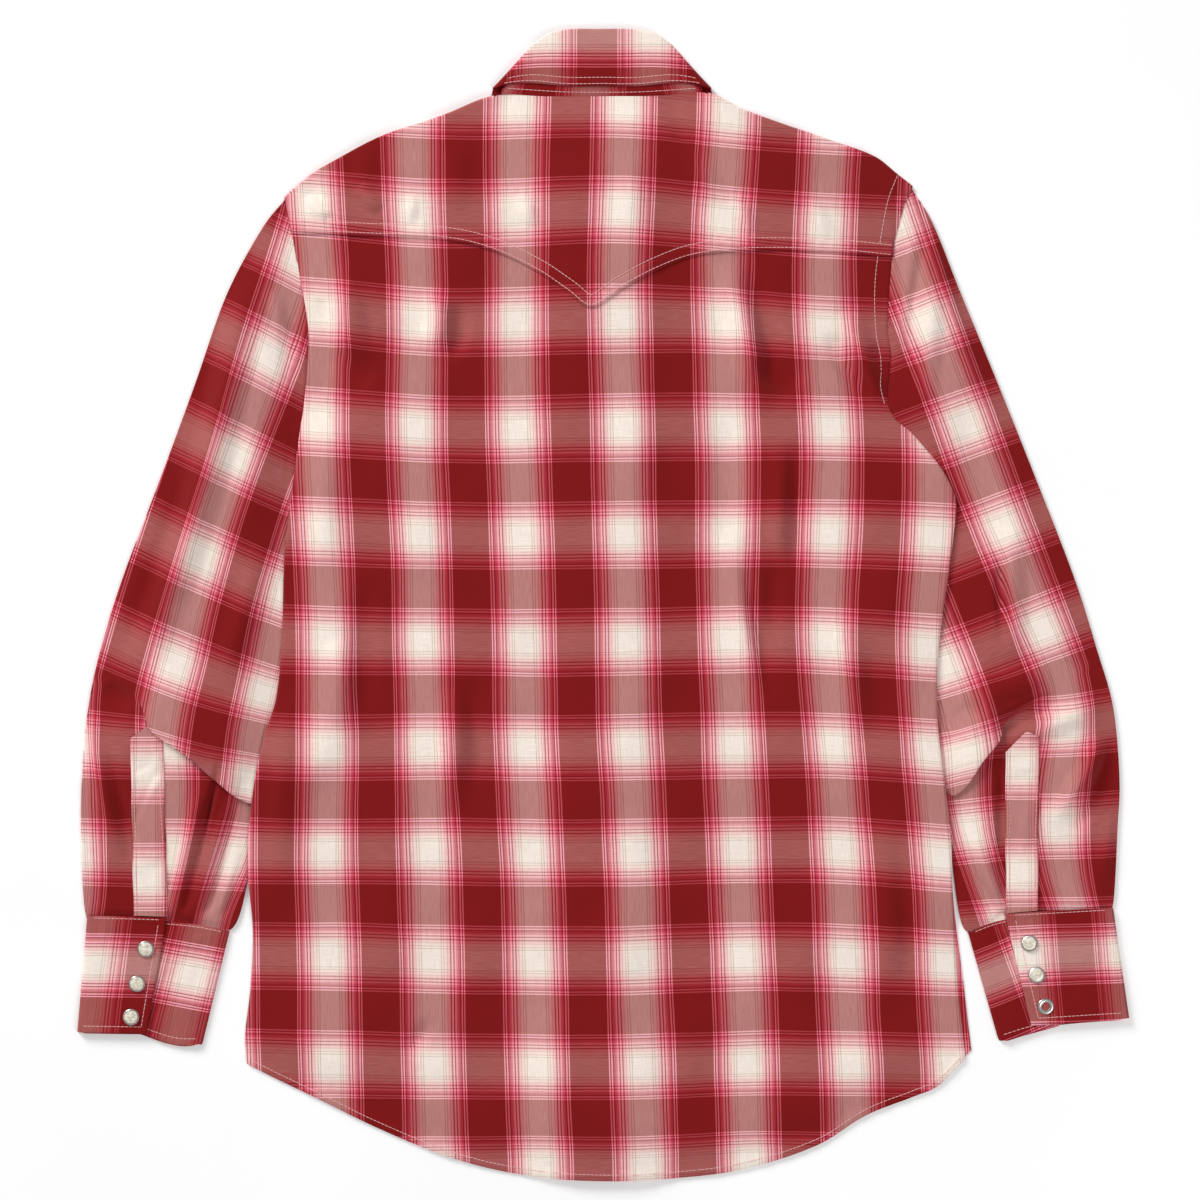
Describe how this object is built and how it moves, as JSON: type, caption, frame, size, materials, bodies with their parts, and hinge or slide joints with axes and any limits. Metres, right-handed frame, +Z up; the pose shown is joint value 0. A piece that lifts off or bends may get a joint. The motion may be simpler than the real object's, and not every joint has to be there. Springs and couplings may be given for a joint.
{
  "type": "western snap shirt",
  "caption": "Long-sleeved western shirt in red and white shadow plaid, laid flat with its back up, with a pointed back yoke and pearl snap cuffs.",
  "frame": {"origin": "on the surface the shirt lies on, under the middle of its box", "axes": "+Z up out of the surface, +Y from the hem to the collar, +X to the wearer's right"},
  "size_m": [0.7668, 0.8412, 0.0137],
  "materials": {
    "plaid_cloth": "plain woven cotton, red and white shadow plaid",
    "plaid_trim": "the same cloth, interlined and topstitched",
    "pearl": "pearl",
    "snap_metal": "polished"
  },
  "bodies": {
    "root": {"back_panel": "plaid_cloth", "yoke": "plaid_cloth", "front_left": "plaid_cloth", "front_right": "plaid_cloth", "front_placket": "plaid_trim", "collar_stand": "plaid_trim", "collar_leaf": "plaid_trim", "sleeve_left": "plaid_cloth", "sleeve_right": "plaid_cloth", "sleeve_placket_left": "plaid_trim", "sleeve_placket_right": "plaid_trim", "cuff_left": "plaid_trim", "cuff_right": "plaid_trim", "cuff_left_snap_1_rim": "snap_metal", "cuff_left_snap_2_rim": "snap_metal", "cuff_left_snap_3_rim": "snap_metal", "cuff_right_snap_1_rim": "snap_metal", "cuff_right_snap_2_rim": "snap_metal", "cuff_right_snap_3_rim": "snap_metal", "front_snap_1_rim": "snap_metal", "front_snap_2_rim": "snap_metal", "front_snap_3_rim": "snap_metal", "front_snap_4_rim": "snap_metal", "front_snap_5_rim": "snap_metal", "front_snap_6_rim": "snap_metal", "front_snap_7_rim": "snap_metal", "cuff_left_snap_1_pearl": "pearl", "cuff_left_snap_2_pearl": "pearl", "cuff_left_snap_3_pearl": "pearl", "cuff_right_snap_1_pearl": "pearl", "cuff_right_snap_2_pearl": "pearl", "front_snap_1_pearl": "pearl", "front_snap_2_pearl": "pearl", "front_snap_3_pearl": "pearl", "front_snap_4_pearl": "pearl", "front_snap_5_pearl": "pearl", "front_snap_6_pearl": "pearl", "front_snap_7_pearl": "pearl"}
  },
  "joints": []
}
